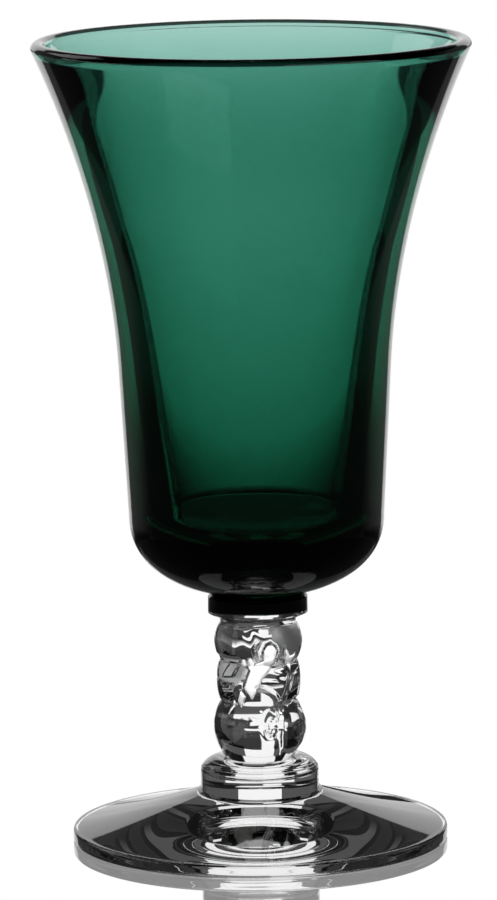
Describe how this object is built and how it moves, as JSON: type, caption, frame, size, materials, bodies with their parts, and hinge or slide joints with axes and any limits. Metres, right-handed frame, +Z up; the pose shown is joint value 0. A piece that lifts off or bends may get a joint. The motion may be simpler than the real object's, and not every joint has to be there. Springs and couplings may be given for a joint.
{
  "type": "footed juice glass",
  "caption": "Footed juice glass with a flared green bell bowl, a pressed clear stem with scroll relief, a ridged collar and a domed clear foot.",
  "frame": {"origin": "middle of the foot's flat underside, on the glass's axis", "axes": "+Z up along the axis to the rim; the richer side of the stem's relief faces -Y, as in the picture"},
  "size_m": [0.0758, 0.0758, 0.14],
  "materials": {
    "green_glass": "clear dark green glass, fire polished, darker where it is thicker",
    "pressed_glass": "colourless pressed glass, slightly wavy from the mould, with fine lines round the collar",
    "clear_glass": "colourless glass, fire polished"
  },
  "bodies": {
    "root": {"bowl": "green_glass", "bowl_button": "green_glass", "stem": "pressed_glass", "stem_collar": "pressed_glass", "foot": "clear_glass"}
  },
  "joints": []
}
